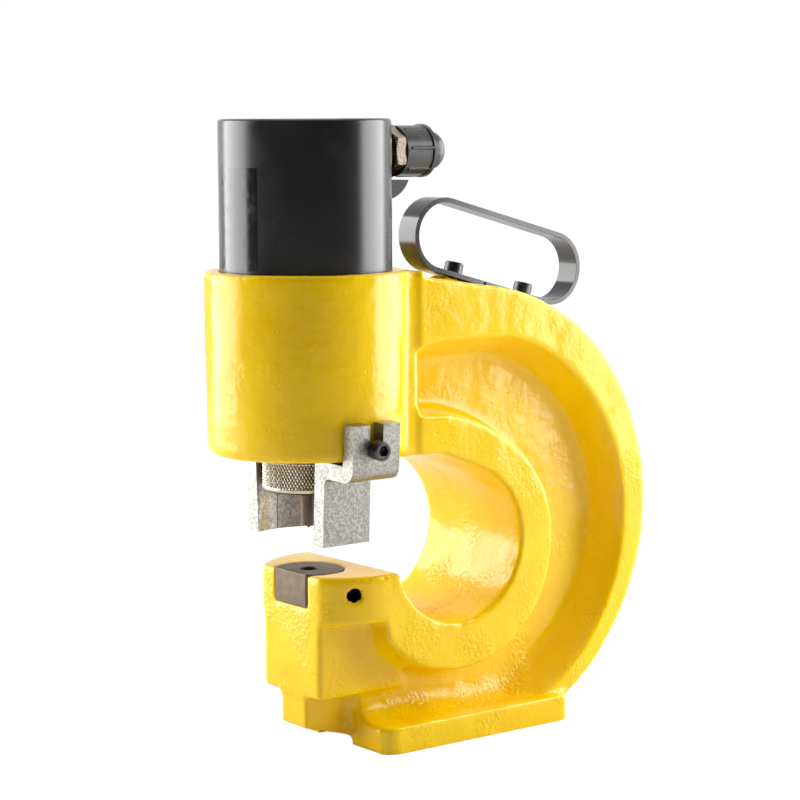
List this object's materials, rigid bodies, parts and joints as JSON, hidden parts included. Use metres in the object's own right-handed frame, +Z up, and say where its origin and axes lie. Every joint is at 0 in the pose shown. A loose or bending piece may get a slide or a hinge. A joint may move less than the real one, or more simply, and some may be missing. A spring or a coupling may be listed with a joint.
{
  "type": "hydraulic hole punch",
  "caption": "Portable hydraulic hole punch with a yellow cast C-frame, black cylinder, zinc stripper brackets and a strap handle.",
  "frame": {"origin": "middle of the foot's underside", "axes": "+Z up along the punch, +X from the punch towards the back of the C, the near side faces -Y"},
  "size_m": [0.251, 0.13, 0.324],
  "materials": {
    "enamel": "gloss yellow enamel over a rough casting",
    "black_steel": "satin black",
    "zinc": "grainy zinc",
    "tool_steel": "dark hardened tool steel",
    "bright_steel": "ground and knurled steel",
    "strap_steel": "dark polished strap",
    "screw_black": "blackened screws",
    "nickel": "pale nickel plate",
    "oxide": "brown oxide",
    "bronze": "bearing bronze",
    "spring_steel": "oiled spring steel",
    "seal": "matt",
    "wear": "matt",
    "cap_plastic": "satin black"
  },
  "bodies": {
    "frame": {"c_frame": "enamel", "cylinder_barrel": "black_steel", "ram_bush": "bronze", "rod_wiper": "seal", "die": "tool_steel", "die_set_screw": "screw_black", "stripper_screws": "screw_black", "handle_strap": "strap_steel", "handle_screws": "screw_black", "coupler_adapter": "oxide", "coupler_seal": "seal", "coupler_body": "nickel", "coupler_poppet_spring": "spring_steel", "return_spring": "spring_steel"},
    "ram_assembly": {"ram": "bright_steel", "piston": "bright_steel", "piston_wear_ring": "wear", "piston_seal": "seal", "piston_screw": "screw_black", "punch": "tool_steel"},
    "nut": {"punch_nut": "bright_steel"},
    "near_stripper": {"stripper_near": "zinc"},
    "far_stripper": {"stripper_far": "zinc"},
    "cap": {"dust_cap": "cap_plastic"},
    "poppet": {"coupler_poppet": "bright_steel"}
  },
  "joints": [
    {"name": "ram_stroke", "type": "slide", "parent": "frame", "child": "ram_assembly", "axis": [0, 0, -1], "range_m": [0, 0.024], "stiffness_N_per_m": 5000, "springref_m": -0.02, "deforming": ["return_spring"]},
    {"name": "punch_nut_turn", "type": "hinge", "parent": "ram_assembly", "child": "nut", "pos_m": [-0.077, 0, 0.143], "axis": [0, 0, 1], "range_deg": [0, 90]},
    {"name": "stripper_near_slide", "type": "slide", "parent": "frame", "child": "near_stripper", "axis": [0, 0.0436, -0.999], "range_m": [0, 0.01]},
    {"name": "stripper_far_slide", "type": "slide", "parent": "frame", "child": "far_stripper", "axis": [0, -0.0436, -0.999], "range_m": [0, 0.01]},
    {"name": "dust_cap_pull", "type": "slide", "parent": "frame", "child": "cap", "axis": [1, 0, 0], "range_m": [0, 0.03]},
    {"name": "coupler_poppet_push", "type": "slide", "parent": "frame", "child": "poppet", "axis": [-1, 0, 0], "range_m": [0, 0.0025], "stiffness_N_per_m": 400, "springref_m": -0.003}
  ]
}
